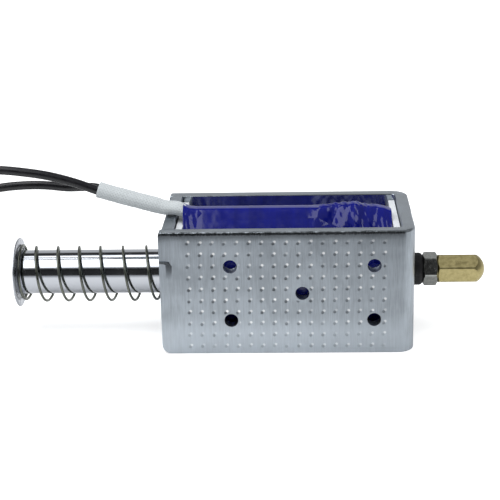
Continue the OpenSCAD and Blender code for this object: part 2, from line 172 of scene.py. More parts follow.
def turned(name, profile, segments=96, sharp=30.0, close=True):
    """Revolves a profile of (x, radius) pairs about the plunger's axis.

    Each point goes to y = -radius * cos(angle), z = axis + radius * sin(angle).
    """
    profile = np.asarray(profile, float)
    angle = np.linspace(0, 2 * np.pi, segments, endpoint=False)
    x = np.repeat(profile[:, :1], segments, 1)
    y = -profile[:, 1:] * np.cos(angle)
    z = AXIS_Z + profile[:, 1:] * np.sin(angle)
    points = np.stack([x, y, z], -1).reshape(-1, 3)
    return new_piece(name, points, grid_quads(len(profile), segments, close, True), sharp)


def arc(x, r, size, start, end, steps=6):
    """Points of a corner arc about (x, r), from start to end in degrees; 0 points to +x and 90 outwards."""
    a = np.radians(np.linspace(start, end, steps))
    return np.stack([x + size * np.cos(a), r + size * np.sin(a)], -1).tolist()


def smooth_path(points, cuts=6):
    """A Catmull-Rom curve through the points, with cuts steps in each span."""
    p = np.asarray(points, float)
    padded = np.concatenate([[2 * p[0] - p[1]], p, [2 * p[-1] - p[-2]]])
    a, b, c, d = padded[:-3], padded[1:-2], padded[2:-1], padded[3:]
    t = (np.arange(cuts) / cuts)[:, None, None]
    curve = 0.5 * (
        2 * b + (c - a) * t + (2 * a - 5 * b + 4 * c - d) * t**2 + (3 * b - a - 3 * c + d) * t**3
    )
    return np.concatenate([curve.transpose(1, 0, 2).reshape(-1, p.shape[1]), p[-1:]])


def distances(path):
    """How far along a path each of its points lies."""
    return np.concatenate([[0], np.cumsum(np.linalg.norm(np.diff(path, axis=0), axis=1))])


def path_frames(path, first):
    """Two unit vectors across each point of a path, side and up; the side vector is carried on with no twist."""
    tangent = np.gradient(path, axis=0)
    tangent /= np.linalg.norm(tangent, axis=1)[:, None]
    side = np.empty_like(path)
    carried = np.asarray(first, float)
    for k, t in enumerate(tangent):
        carried = carried - carried.dot(t) * t
        carried = carried / np.linalg.norm(carried)
        side[k] = carried
    return side, np.cross(tangent, side)


def swept(name, path, section, first):
    """Carries a closed section of (side, up) pairs along a path, with flat ends.

    section is one outline, or one for each path point. UV u runs once round the section and v along the path.
    """
    path = np.asarray(path, float)
    section = np.broadcast_to(section, (len(path),) + np.shape(section)[-2:])
    side, up = path_frames(path, first)
    count = section.shape[1]
    points = path[:, None] + section[..., :1] * side[:, None] + section[..., 1:] * up[:, None]
    uv = tube_uv(grid_quads(len(path), count, False, True), count, distances(path))
    ends = np.zeros((2 * count, 2))
    faces = tube_faces(len(path), count)
    return new_piece(name, points.reshape(-1, 3), faces, 50.0, np.concatenate([uv, ends]))


def oval(width, height, count):
    """An ellipse as (side, up) pairs."""
    a = np.linspace(0, 2 * np.pi, count, endpoint=False)
    return np.stack([width / 2 * np.cos(a), height / 2 * np.sin(a)], -1)


def waves(value, terms):
    """A sum of sines: each term is (height, waves per millimetre, shift)."""
    value = np.asarray(value, float)
    return sum(h * np.sin(2 * np.pi * f * value + s) for h, f, s in terms)


def cut(piece, cutters):
    """Takes the closed cutter pieces out of a piece, and removes them."""
    for tool in cutters:
        change = piece.modifiers.new("cut", "BOOLEAN")
        change.operation, change.solver, change.object = "DIFFERENCE", "EXACT", tool
        bpy.context.view_layer.update()
        graph = bpy.context.evaluated_depsgraph_get()
        result = bpy.data.meshes.new_from_object(piece.evaluated_get(graph), depsgraph=graph)
        piece.modifiers.clear()
        piece.data = result
    for tool in cutters:
        bpy.data.objects.remove(tool)


def finish_piece(piece, material, body, slot, *nodes):
    """Gives a piece its material and body, and hides the CAD nodes that it stands for. The slot is not used."""
    piece.data.materials.clear()
    piece.data.materials.append(material)
    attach(piece, body)
    if nodes:
        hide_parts(*nodes)
    return piece


def paint_node(node, material):
    """Gives a CAD node its material on the object's own slots."""
    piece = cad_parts[node]
    if not piece.material_slots:
        piece.data.materials.append(material)
    for place in piece.material_slots:
        place.link = "OBJECT"
        place.material = material


# --- materials


def scaled(colour, factor):
    """A colour made darker or paler."""
    return tuple(min(1.0, c * factor) for c in colour)


class Nodes:
    """Short calls that add shader nodes to a tree, which starts empty."""

    def __init__(self, tree):
        self.tree = tree
        tree.nodes.clear()

    def add(self, kind, inputs=(), **options):
        """A node of that kind, its options set and its inputs set or linked."""
        node = self.tree.nodes.new("ShaderNode" + kind)
        for key, value in options.items():
            setattr(node, key, value)
        for key, value in dict(inputs).items():
            if isinstance(value, bpy.types.NodeSocket):
                self.tree.links.new(value, node.inputs[key])
            else:
                node.inputs[key].default_value = value
        return node

    def math(self, operation, a, b=0.0, c=0.0):
        """One Math node's result."""
        return self.add("Math", {0: a, 1: b, 2: c}, operation=operation).outputs[0]

    def times(self, a, b):
        """a times b."""
        return self.math("MULTIPLY", a, b)

    def plus(self, a, b):
        """a plus b."""
        return self.math("ADD", a, b)

    def minus(self, a, b):
        """a minus b."""
        return self.math("SUBTRACT", a, b)

    def vector(self, operation, a, b):
        """One Vector Math node's vector."""
        return self.add("VectorMath", {0: a, 1: b}, operation=operation).outputs[0]

    def ramp(self, value, low, high, to_low=0.0, to_high=1.0):
        """A smooth step of value from low to high."""
        inputs = {"Value": value, "From Min": low, "From Max": high, "To Min": to_low, "To Max": to_high}
        return self.add("MapRange", inputs, interpolation_type="SMOOTHSTEP").outputs[0]

    def split(self, vector):
        """A vector's three parts."""
        return self.add("SeparateXYZ", {0: vector}).outputs


class Finish(Nodes):
    """A material with one Principled shader, and short calls that feed it."""

    def __init__(self, name, colour, metallic=0.0, roughness=0.5, **sockets):
        self.material = bpy.data.materials.new(name)
        self.material.use_nodes = True
        super().__init__(self.material.node_tree)
        plain = {"Base Color": (*colour, 1.0), "Metallic": metallic, "Roughness": roughness}
        others = {socket.replace("_", " "): value for socket, value in sockets.items()}
        self.shader = self.add("BsdfPrincipled", {**plain, **others})
        self.output = self.add("OutputMaterial", {0: self.shader.outputs[0]})

    def where(self, scale=(1.0, 1.0, 1.0)):
        """Object coordinates in millimetres from the frame's middle, on its axis, times scale."""
        place = self.add("TexCoord").outputs["Object"]
        moved = self.vector("ADD", place, (-MID_X * MM, 0.0, -AXIS_Z * MM))
        return self.vector("MULTIPLY", moved, tuple(s / MM for s in scale))

    def along(self):
        """The piece's own UV: once round its section, and millimetres along it."""
        return self.add("UVMap", uv_map="Along").outputs[0]

    def noise(self, vector, scale, detail=2.0, roughness=0.5):
        """A noise pattern's value, from 0 to 1."""
        inputs = {"Vector": vector, "Scale": scale, "Detail": detail, "Roughness": roughness}
        return self.add("TexNoise", inputs).outputs[0]

    def blend(self, factor, a, b):
        """A mix of two colours."""
        a, b = ((*c, 1.0) if isinstance(c, tuple) else c for c in (a, b))
        return self.add("Mix", {0: factor, 6: a, 7: b}, data_type="RGBA").outputs[2]

    def colour(self, socket):
        """Links the base colour."""
        self.tree.links.new(socket, self.shader.inputs["Base Color"])

    def rough(self, socket):
        """Links the roughness."""
        self.tree.links.new(socket, self.shader.inputs["Roughness"])

    def bump(self, *layers):
        """Stacks bump nodes; each layer is (height socket, strength, distance in millimetres)."""
        normal = None
        for height, strength, distance in layers:
            node = self.add("Bump", {"Strength": strength, "Distance": distance * MM, "Height": height})
            if normal is not None:
                self.tree.links.new(normal, node.inputs["Normal"])
            normal = node.outputs[0]
        self.tree.links.new(normal, self.shader.inputs["Normal"])


def punch_marks(f, sizes, x, z):
    """Two masks over the punch marks: each mark's pit, which is also painted dark as shade, and a painted
    highlight beside it.
    """
    u = f.math("DIVIDE", f.minus(x, sizes.mark_left), sizes.mark_pitch)
    v = f.math("DIVIDE", f.minus(sizes.mark_top, z), sizes.mark_pitch)
    column, row = f.math("ROUND", u), f.math("ROUND", v)
    cell = f.add("CombineXYZ", {0: column, 1: row}).outputs[0]
    chance = f.add("TexWhiteNoise", {"Vector": cell}, noise_dimensions="3D")
    jitter = f.split(chance.outputs["Color"])
    inside = 1.0
    for value, count in ((column, sizes.mark_columns), (row, sizes.mark_rows)):
        middle = (count - 1) / 2
        inside = f.times(inside, f.math("COMPARE", value, middle, middle + 0.1))
    for dx, dz in HOLES:
        off = f.add("CombineXYZ", {0: f.minus(x, HOLE_X + dx), 1: f.minus(z, dz)}).outputs[0]
        away = f.add("VectorMath", {0: off}, operation="LENGTH").outputs["Value"]
        inside = f.times(inside, f.ramp(away, 2.6, 3.0))
    # pit is the mark's hollow, painted dark as shade; lip is a painted highlight up and right of it, not raised
    # in the mesh.
    pit = (-0.06, 0.01, 0.5, 0.5, chance.outputs["Value"])
    lip = (0.07, -0.13, 0.45, 0.15, jitter[2])
    masks = []
    for shift_u, shift_v, size, least, luck in (pit, lip):
        off_u = f.minus(f.minus(u, column), f.math("MULTIPLY_ADD", jitter[0], 0.06, shift_u))
        off_v = f.minus(f.minus(v, row), f.math("MULTIPLY_ADD", jitter[1], 0.06, shift_v))
        away = f.math("SQRT", f.plus(f.times(off_u, off_u), f.times(off_v, off_v)))
        spot = f.ramp(f.times(away, sizes.mark_pitch / sizes.mark_size), size, size * 0.45)
        level = f.math("MULTIPLY_ADD", luck, 1.0 - least, least)
        masks.append(f.times(f.times(spot, inside), level))
    return masks


def zinc_finish(name, sizes, finish, dotted):
    """Zinc-plated sheet: clouded grey, faint upright grain, the drilled leg's punch marks and painted light and
    shade.
    """
    base = tuple(finish.zinc)
    f = Finish(name, base, 1.0, 0.4)
    place = f.where()
    cloud = f.noise(place, 0.09, 3.0)
    grain = f.noise(f.where((1.0, 1.0, 0.06)), 2.4, 3.0, 0.6)
    fine = f.noise(place, 3.2, 2.0)
    tint = f.plus(f.times(cloud, 0.6), f.times(grain, 0.4))
    dark = scaled(base, 0.8)
    pale = scaled(base, 1.16)
    colour = f.blend(f.ramp(tint, 0.36, 0.64), dark, pale)
    layers = [(grain, 0.1, 0.05), (cloud, 0.25, 0.6), (fine, 0.12, 0.03)]
    x, y, z = f.split(place)
    rough = f.ramp(cloud, 0.3, 0.7, 0.32, 0.44)
    if dotted:
        front = f.ramp(y, -DEPTH / 2 + 0.6, -DEPTH / 2 + 0.2)
        # Painted shade in each mark's pit, whose mask also shapes the bump, and a painted white highlight beside
        # it.
        pit_and_painted_shade, painted_glint = punch_marks(f, sizes, x, z)
        pit_and_painted_shade, painted_glint = f.times(pit_and_painted_shade, front), f.times(painted_glint, front)
        layers.append((f.minus(1.0, pit_and_painted_shade), 0.5, 0.15))
        colour = f.blend(painted_glint, colour, (1.0, 1.0, 1.0))
        colour = f.blend(f.times(pit_and_painted_shade, 0.75), colour, scaled(base, 0.1))
        # Painted dark reflection: a ragged dark line under the upper front edge, with painted shade fading down
        # from it.
        ragged = f.plus(z, f.math("MULTIPLY_ADD", fine, 0.9, -0.45))
        soft = f.times(f.ramp(ragged, AXIS_Z - 3.4, AXIS_Z - 1.0), 0.6)
        line = f.ramp(ragged, AXIS_Z - 1.25, AXIS_Z - 0.95)
        below = f.ramp(ragged, AXIS_Z - 0.05, AXIS_Z - 0.25)
        band = f.times(f.math("MAXIMUM", soft, line), f.times(below, front))
        band = f.times(band, f.ramp(grain, 0.3, 0.5, 0.7, 1.0))
        colour = f.blend(f.times(band, 0.93), colour, scaled(base, 0.05))
        # Painted floor light: the front face is paler towards the bottom.
        shade = f.times(f.ramp(z, -6.0, -14.0), 0.4)
        colour = f.blend(f.times(shade, front), colour, scaled(base, 1.7))
        # Painted shade: the front face darkens towards its right end.
        lean = f.times(f.ramp(x, -10.0, 42.0), 0.28)
        colour = f.blend(f.times(lean, front), colour, scaled(base, 0.45))
        inner = f.ramp(y, DEPTH / 2 - 4.6, DEPTH / 2 - 4.3)
        inner = f.times(inner, f.ramp(y, DEPTH / 2 - 3.3, DEPTH / 2 - 3.7))
        rough = f.times(rough, f.math("MULTIPLY_ADD", inner, -0.62, 1.0))
        outer = f.ramp(y, -DEPTH / 2 + 2.0, -DEPTH / 2 + 1.4)
        rolled = f.times(f.ramp(z, AXIS_Z - 1.2, AXIS_Z - 0.7), outer)
        rough = f.times(rough, f.math("MULTIPLY_ADD", rolled, -0.25, 1.0))
    f.colour(colour)
    f.rough(rough)
    f.bump(*layers)
    return f.material


def plated_finish(name, colour, roughness, scratch=0.05):
    """Turned and plated steel: mirror-like, with faint turning marks round the axis."""
    f = Finish(name, colour, 1.0, roughness)
    rings = f.noise(f.where((1.0, 0.02, 0.02)), 3.0, 4.0, 0.7)
    haze = f.noise(f.where(), 0.35, 3.0)
    f.rough(f.ramp(haze, 0.35, 0.7, roughness, roughness * 1.9))
    f.bump((rings, scratch, 0.02))
    return f.material


def steel_finish(name, colour, roughness, grain=1.2):
    """Cut steel with a fine uneven grain and a little oil darkening."""
    f = Finish(name, colour, 1.0, roughness)
    spots = f.noise(f.where(), grain, 4.0, 0.65)
    f.colour(f.blend(f.ramp(spots, 0.35, 0.7), scaled(colour, 0.7), colour))
    f.rough(f.ramp(spots, 0.3, 0.7, roughness * 0.8, roughness * 1.25))
    f.bump((spots, 0.12, 0.05))
    return f.material


def cap_brass_finish(name, colour):
    """Dull turned brass: olive patina in patches, fine pits and lines round the bar."""
    f = Finish(name, colour, 1.0, 0.36)
    patches = f.noise(f.where(), 0.7, 4.0, 0.6)
    pits = f.noise(f.where((1.0, 1.4, 1.4)), 3.2, 3.0, 0.7)
    lines = f.noise(f.where((1.0, 0.03, 0.03)), 4.0, 2.0)
    brown = (colour[0] * 0.75, colour[1] * 0.73, colour[2] * 0.68)
    mixed = f.plus(f.times(patches, 0.75), f.times(pits, 0.25))
    f.colour(f.blend(f.ramp(mixed, 0.36, 0.62), brown, colour))
    f.rough(f.ramp(patches, 0.3, 0.7, 0.3, 0.46))
    f.bump((pits, 0.35, 0.05), (lines, 0.15, 0.03))
    return f.material


def plain_brass_finish(name, colour):
    """Drawn brass with soft lines along the tube."""
    f = Finish(name, colour, 1.0, 0.28)
    lines = f.noise(f.where((0.05, 1.0, 1.0)), 2.5, 3.0)
    f.colour(f.blend(f.ramp(lines, 0.3, 0.7), scaled(colour, 0.8), colour))
    f.bump((lines, 0.15, 0.03))
    return f.material


def winding_finish(name, colour):
    """Enamelled copper wire laid side by side: a rib for each turn of wire, painted dark in the grooves as
    shade.
    """
    f = Finish(name, colour, 0.6, 0.3, Coat_Weight=0.6, Coat_Roughness=0.2)
    x = f.split(f.where())[0]
    rib = f.math("ABSOLUTE", f.math("SINE", f.times(x, math.pi / 0.42)))
    # Painted shade: the grooves between turns of wire are darkened.
    f.colour(f.blend(f.ramp(rib, 0.0, 0.5), scaled(colour, 0.25), colour))
    f.bump((rib, 0.8, 0.15))
    return f.material


def moulded_finish(name, colour, roughness=0.45, grain=0.8):
    """Moulded plastic with a faint uneven skin."""
    f = Finish(name, colour, 0.0, roughness, IOR=1.5)
    skin = f.noise(f.where(), grain, 3.0)
    f.colour(f.blend(f.ramp(skin, 0.3, 0.7), scaled(colour, 0.94), colour))
    f.rough(f.ramp(skin, 0.3, 0.7, roughness * 0.85, roughness * 1.15))
    f.bump((skin, 0.08, 0.1))
    return f.material


def tape_finish(name, colour):
    """Glossy blue film, drawn smooth, with fine creases where it is crumpled over the splices."""
    f = Finish(name, colour, 0.0, 0.1, IOR=1.45)
    x = f.split(f.where())[0]
    crumple = f.times(f.ramp(x, 6.0, 14.0), f.ramp(x, 31.0, 26.0))
    streak = f.noise(f.where((1.0, 0.1, 0.1)), 0.4, 3.0, 0.5)
    fine = f.noise(f.where(), 0.5, 3.0, 0.5)
    f.colour(f.blend(f.ramp(streak, 0.3, 0.75), scaled(colour, 0.85), scaled(colour, 1.15)))
    f.rough(f.ramp(fine, 0.35, 0.7, 0.08, 0.16))
    cells = f.where((0.17, 0.17, 0.17))
    facet = f.add("TexVoronoi", {"Vector": cells, "Scale": 1.0})
    local = f.vector("SUBTRACT", cells, facet.outputs["Position"])
    lean = f.vector("SUBTRACT", facet.outputs["Color"], (0.5, 0.5, 0.5))
    folded = f.add("VectorMath", {0: local, 1: lean}, operation="DOT_PRODUCT").outputs["Value"]
    tuck = f.times(f.ramp(x, -27.0, -29.0), f.ramp(x, -33.5, -31.5))
    folded = f.times(folded, f.math("MAXIMUM", crumple, f.times(tuck, 0.6)))
    f.bump((folded, 0.9, 2.2))
    return f.material


def weave_finish(name, colour, around, pitch):
    """Woven glass sleeve: two sets of slanted yarns that pass over and under each other, with painted shade in
    the gaps.
    """
    f = Finish(name, colour, 0.0, 0.55, Sheen_Weight=0.15)
    u, v, _ = f.split(f.along())
    turns = f.times(u, around * math.pi)
    steps = f.times(v, math.pi / pitch)
    over = f.math("SINE", f.plus(turns, steps))
    under = f.math("SINE", f.minus(turns, steps))
    cross = f.times(over, under)
    height = f.ramp(cross, -1.0, 1.0)
    open_ = f.plus(f.math("ABSOLUTE", over), f.math("ABSOLUTE", under))
    pore = f.ramp(open_, 0.95, 0.3)
    fuzz = f.noise(f.where(), 1.6, 4.0, 0.7)
    tone = f.blend(f.ramp(fuzz, 0.35, 0.7), scaled(colour, 0.9), colour)
    # Painted shade: the open gaps between the yarns are darkened.
    f.colour(f.blend(f.times(pore, 0.75), tone, scaled(colour, 0.45)))
    f.bump((height, 0.5, 0.16), (fuzz, 0.15, 0.08))
    return f.material


def insulation_finish(name, colour):
    """Extruded black insulation: satin, with long soft marks along the wire."""
    f = Finish(name, colour, 0.0, 0.3, IOR=1.5)
    stretched = f.vector("MULTIPLY", f.along(), (9.0, 0.25, 1.0))
    marks = f.noise(stretched, 1.0, 3.0, 0.6)
    dust = f.noise(f.where(), 0.5, 3.0)
    f.colour(f.blend(f.ramp(dust, 0.4, 0.75), colour, scaled(colour, 1.6)))
    f.rough(f.ramp(marks, 0.3, 0.7, 0.24, 0.4))
    f.bump((marks, 0.12, 0.05))
    return f.material


def strand_finish(name, colour):
    """Tinned strands twisted together, from the tip's own UV, painted dark in the grooves as shade."""
    f = Finish(name, colour, 1.0, 0.3)
    u, v, _ = f.split(f.along())
    twist = f.plus(f.times(u, 7 * math.pi), f.times(v, math.pi / 0.9))
    rib = f.math("ABSOLUTE", f.math("SINE", twist))
    # Painted shade: the grooves between strands are darkened.
    f.colour(f.blend(f.ramp(rib, 0.0, 0.6), scaled(colour, 0.35), colour))
    f.bump((rib, 0.7, 0.12))
    return f.material


# --- settings


def length(name, description, default, **limits):
    """A setting in millimetres."""
    return bpy.props.FloatProperty(name=name, description=description, default=default, **limits)


def number(name, description, default, least):
    """A whole number setting."""
    return bpy.props.IntProperty(name=name, description=description, default=default, min=least)


class SolenoidSizes(bpy.types.PropertyGroup):
    """Sizes of the detail that the dressed pieces add, in millimetres."""

    edge_roll: length(
        "Edge roll", "Radius that shearing leaves on the frame's upper outer edge", 0.8, min=0.2
    )
    edge_break: length("Edge break", "Radius of the frame's other edges", 0.35, min=0.05)
    mark_pitch: length("Mark pitch", "Distance between the punch marks", 3.83, min=1.0)
    mark_size: length("Mark size", "Width of one punch mark", 1.3, min=0.2)
    mark_left: length("First mark", "Place of the first column, from the frame's middle", -31.0)
    mark_top: length("Top mark", "Height of the first row above the axis", 16.8)
    mark_columns: number("Columns", "Number of columns of punch marks", 17, 1)
    mark_rows: number("Rows", "Number of rows of punch marks", 10, 1)
    weave_pitch: length("Weave pitch", "Length of one crossing of the sleeve's yarns", 1.1, min=0.2)
    weave_count: number("Weave count", "Crossings round the sleeve", 16, 4)


def tone(name, description, value):
    """A colour setting."""
    return bpy.props.FloatVectorProperty(
        name=name, description=description, default=value, size=3, subtype="COLOR", min=0.0, max=1.0
    )


class SolenoidFinish(bpy.types.PropertyGroup):
    """Base colours of the finishes."""

    zinc: tone("Zinc", "Plated sheet of the frame", (0.4, 0.44, 0.48))
    nickel: tone("Nickel", "Plated plunger and disc", (0.56, 0.58, 0.62))
    wire: tone("Spring wire", "Oiled spring steel", (0.2, 0.21, 0.18))
    steel: tone("Nut steel", "Turned steel", (0.4, 0.41, 0.39))
    cap: tone("Cap brass", "Dull brass of the domed nut", (0.52, 0.45, 0.22))
    brass: tone("Brass", "Tube and washer", (0.72, 0.53, 0.22))
    copper: tone("Copper", "Enamelled winding wire", (0.6, 0.25, 0.1))
    tape: tone("Tape", "Film round the coil", (0.003, 0.006, 0.15))
    nylon: tone("Nylon", "Bobbin", (0.66, 0.69, 0.72))
    sleeve: tone("Sleeve", "Woven glass sleeve", (0.52, 0.56, 0.58))
    black: tone("Insulation", "Lead insulation", (0.006, 0.006, 0.008))


def settings():
    """The scene's sizes and finishes."""
    scene = bpy.context.scene
    return scene.solenoid_sizes, scene.solenoid_finish


# --- frame


def yoke_path():
    """The outer line of the bent strip seen from above, from the front leg's end round to the back leg's.

    Straight runs and quarter circles of the outer bend radius. Returns the points, the outward normals, and
    how far each point lies from the legs' ends along X.
    """
    half = DEPTH / 2
    straight = HALF_L * 2 - BEND_R
    by_the_end = [0, 0.15, 0.4, 0.8, 1.3, 2.0, 2.8]
    run = np.concatenate([by_the_end, np.arange(3.3, straight - 0.2, 0.5), [straight]])
    turn = np.radians(np.linspace(0, 90, 19)[1:])
    wall = np.linspace(-half + BEND_R, half - BEND_R, 24)[1:]
    front = np.stack([-HALF_L + run, np.full_like(run, -half), 0 * run, -np.ones_like(run)], -1)
    x, y = HALF_L - BEND_R + BEND_R * np.sin(turn), -half + BEND_R - BEND_R * np.cos(turn)
    corner = np.stack([x, y, np.sin(turn), -np.cos(turn)], -1)
    side = np.stack([np.full_like(wall, HALF_L), wall, np.ones_like(wall), 0 * wall], -1)
    mirror = np.array([1, -1, 1, -1])
    line = np.concatenate([front, corner, side, (corner * mirror)[::-1][1:], (front * mirror)[::-1]])
    return line[:, :2], line[:, 2:], line[:, 0] + HALF_L


def corner_rise(gap, radius):
    """How far a rounded corner stands back from the leg's edge, at each distance from the leg's end."""
    return np.where(gap < radius, radius - np.sqrt(np.maximum(0, radius**2 - (radius - gap) ** 2)), 0.0)


def thread_wall(depth, ridge):
    """The radius of a tapped hole at each depth, with a ridge for each turn of its thread."""
    return TAP_R + ridge * np.abs(np.sin(np.pi * depth / THREAD_PITCH))


def build_yoke(sizes, material):
    """The bent frame: the sheet's section carried round the U, edges rounded, the legs' corners cut."""
    line, normal, gap = yoke_path()
    terms = [(0.06, 0.11, 0.4), (0.05, 0.37, 2.0), (0.04, 0.83, 4.1), (0.04, 0.23, 1.1)]
    ragged = waves(distances(line), terms)
    brk = sizes.edge_break
    roll = np.clip(sizes.edge_roll + ragged, 0.3, 1.9)
    roll = np.where(gap < 5.0, 0.55 + 0.25 * ragged, roll)
    roll = np.where(line[:, 1] > 0, brk, roll)
    low = corner_rise(gap, LOWER_CORNER_R)
    high = HEIGHT - corner_rise(gap, UPPER_CORNER_R)
    quarter = np.radians(np.linspace(0, 90, 7))
    rows = [(0.0, (low + brk) * (1 - share) + (high - roll) * share) for share in np.linspace(0, 1, 9)]
    rows += [(roll * (1 - np.cos(a)), high - roll + roll * np.sin(a)) for a in quarter[1:]]
    rows += [(SHEET - brk + brk * np.sin(a), high - brk + brk * np.cos(a)) for a in quarter]
    rows += [(SHEET - brk + brk * np.cos(a), low + brk - brk * np.sin(a)) for a in quarter]
    rows += [(brk - brk * np.sin(a), low + brk - brk * np.cos(a)) for a in quarter[:-1]]
    inset, height = (grid.T[..., None] for grid in as_grid(rows, gap.shape))
    points = np.concatenate([line[:, None] - inset * normal[:, None], height], -1)
    piece = new_piece("yoke", points.reshape(-1, 3), tube_faces(len(line), len(rows)), 40.0)
    cut(piece, yoke_cutters())
    piece.data.shade_smooth()
    piece.data.set_sharp_from_angle(angle=math.radians(32))
    return finish_piece(piece, material, FRAME_BODY, "zinc_plated_steel", "yoke_frame")


def yoke_cutters():
    """Tapped holes with a ridged wall, the shank's hole and the chisel marks, as closed cutting pieces."""
    tools = []
    depth = np.arange(-0.6, SHEET + 0.7, 0.08)
    wall = thread_wall(depth, 0.13) + 0.22 * np.clip(0.3 - depth, 0, 1)
    angle = np.linspace(0, 2 * np.pi, 40, endpoint=False)
    y = -DEPTH / 2 + np.repeat(depth[:, None], len(angle), 1)
    for dx, dz in HOLES:
        x = HOLE_X + dx + wall[:, None] * np.cos(angle)
        z = AXIS_Z + dz + wall[:, None] * np.sin(angle)
        tools.append(new_piece("tool", np.stack([x, y, z], -1).reshape(-1, 3), tube_faces(*x.shape)))
    start, end = HALF_L - 6, HALF_L + 1
    shank = [(start, 0), (start, SHANK_HOLE_R), (end, SHANK_HOLE_R), (end, 0)]
    tools.append(turned("tool", shank, 64, close=False))
    for side in (-1, 1):
        outer = side * DEPTH / 2
        corner = np.array(
            [
                [-HALF_L - 0.5, outer - side * 0.5, AXIS_Z + 11.2],
                [-HALF_L + 3.2, outer - side * 0.75, AXIS_Z + 10.9],
                [-HALF_L + 3.9, outer + side * 0.03, AXIS_Z + 9.3],
                [-HALF_L - 0.5, outer + side * 0.03, AXIS_Z + 10.5],
            ]
        )
        lifted = corner.copy()
        lifted[:, 1] = outer + side * 1.0
        faces = [(0, 1, 2, 3), (7, 6, 5, 4), (0, 4, 5, 1), (1, 5, 6, 2), (2, 6, 7, 3), (3, 7, 4, 0)]
        tools.append(new_piece("tool", np.concatenate([corner, lifted]), faces))
    return tools


class SOLENOID_OT_yoke(bpy.types.Operator):
    """Build the bent frame with its rolled edges, tapped holes and chisel marks"""

    bl_idname = "solenoid.yoke"
    bl_label = "Frame"

    def execute(self, context):
        sizes, finish = settings()
        build_yoke(sizes, zinc_finish("plated_sheet_marked", sizes, finish, True))
        plain = zinc_finish("plated_sheet", sizes, finish, False)
        paint_node("end_plate", plain)
        return {"FINISHED"}


# --- coil


def tape_lift(x):
    """How far the ridge stands above its usual height along X: up with the sleeve and over the splices."""
    stations = [-34, -32.7, -31.2, -29, 8, 13, 18, 22.5, 24.4, 26, 29, 31.5, 34]
    heights = [1.6, 0.8, 0.25, 0.0, 0.0, 0.35, 0.95, 1.15, 0.45, 0.25, 0.1, -0.5, -1.2]
    return np.interp(x, stations, heights)


def build_tape(material):
    """The tape: for each X, the outline drawn tight over the winding and the ridge of the leads.

    The outline is the support shape of a circle and a small stadium: at each angle the farther of the two,
    smoothed, then creased by sums of sines. The inner face is the same outline, one film's thickness in.
    """
    x0, x1 = span_x("coil_tape")
    x0 = x0 - 0.35
    joins = (x0, x0 + 8, x1 - 12, x1)
    runs = [np.linspace(a, b, n, endpoint=False) for a, b, n in zip(joins, joins[1:], (29, 89, 59))]
    x = np.concatenate([*runs, [x1]])
    angle = np.linspace(0, 2 * np.pi, 360, endpoint=False)
    big = AXIS_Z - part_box("coil_tape")[0].z / MM
    ridge_z = 19.97 - 0.2 + tape_lift(x)[:, None]
    reach = np.stack([np.cos(angle) * (RIDGE_Y + s) for s in (-0.9, 0.9)], 0).max(0)
    support = np.maximum(big, reach + np.sin(angle) * ridge_z + RIDGE_R)
    slope = (np.roll(support, -1, 1) - np.roll(support, 1, 1)) / (2 * (angle[1] - angle[0]))
    y = support * np.cos(angle) - slope * np.sin(angle)
    z = support * np.sin(angle) + slope * np.cos(angle)
    hull = np.stack([y, z], -1)
    around = np.arctan2(z, y)
    order = np.argsort(around, axis=1)
    radius = np.linalg.norm(hull, axis=-1)
    even = np.empty_like(radius)
    for k, line in enumerate(order):
        even[k] = np.interp(angle, np.mod(around[k][line], 2 * np.pi), radius[k][line], period=2 * np.pi)
    top = np.clip((even - big - 0.02) / 0.6, 0, 1)
    crumple = np.exp(-(((x - 19) / 7.5) ** 2))[:, None]
    long_waves = waves(x, [(0.10, 0.08, 0.3), (0.08, 0.19, 2.2)])[:, None]
    crease = waves(x[:, None] + 7 * angle, [(0.13, 0.31, 0.2), (0.08, 0.52, 1.9)])
    crease = crease + waves(x[:, None] - 11 * angle, [(0.1, 0.43, 0.7), (0.06, 0.83, 2.9)])
    end_tuck = -0.25 * np.exp(-(((x - x1) / 1.2) ** 2))[:, None]
    even = even + top * (long_waves * 0.1 + crease * (0.02 + 0.9 * crumple) + end_tuck) - 0.03
    across = np.repeat(x[:, None], len(angle), 1)
    outside, inside = (
        np.stack([across, r * np.cos(angle), AXIS_Z + r * np.sin(angle)], -1) for r in (even, even - FILM)
    )
    points = np.concatenate([outside, inside[::-1]])
    quads = grid_quads(len(points), len(angle), True, True)
    piece = new_piece("coil_tape_film", points.reshape(-1, 3), quads, 60.0)
    return finish_piece(piece, material, FRAME_BODY, "blue_tape", "coil_tape")


class SOLENOID_OT_coil(bpy.types.Operator):
    """Build the tape and finish the bobbin, winding, tube, core and splices"""

    bl_idname = "solenoid.coil"
    bl_label = "Coil"

    def execute(self, context):
        _, finish = settings()
        build_tape(tape_finish("blue_film", tuple(finish.tape)))
        paint_node("bobbin", moulded_finish("bobbin_nylon", tuple(finish.nylon), 0.42))
        paint_node("coil_winding", winding_finish("winding_wire", tuple(finish.copper)))
        brass = plain_brass_finish("drawn_brass", tuple(finish.brass))
        for node in ("guide_tube", "stop_washer"):
            paint_node(node, brass)
        paint_node("rod_bush", steel_finish("sintered_bronze", (0.42, 0.27, 0.13), 0.5, 3.0))
        paint_node("fixed_core", steel_finish("core_iron", (0.42, 0.43, 0.45), 0.34))
        paint_node("lead_splices", moulded_finish("splice_sleeve", (0.7, 0.71, 0.66), 0.5))
        return {"FINISHED"}


# --- plunger


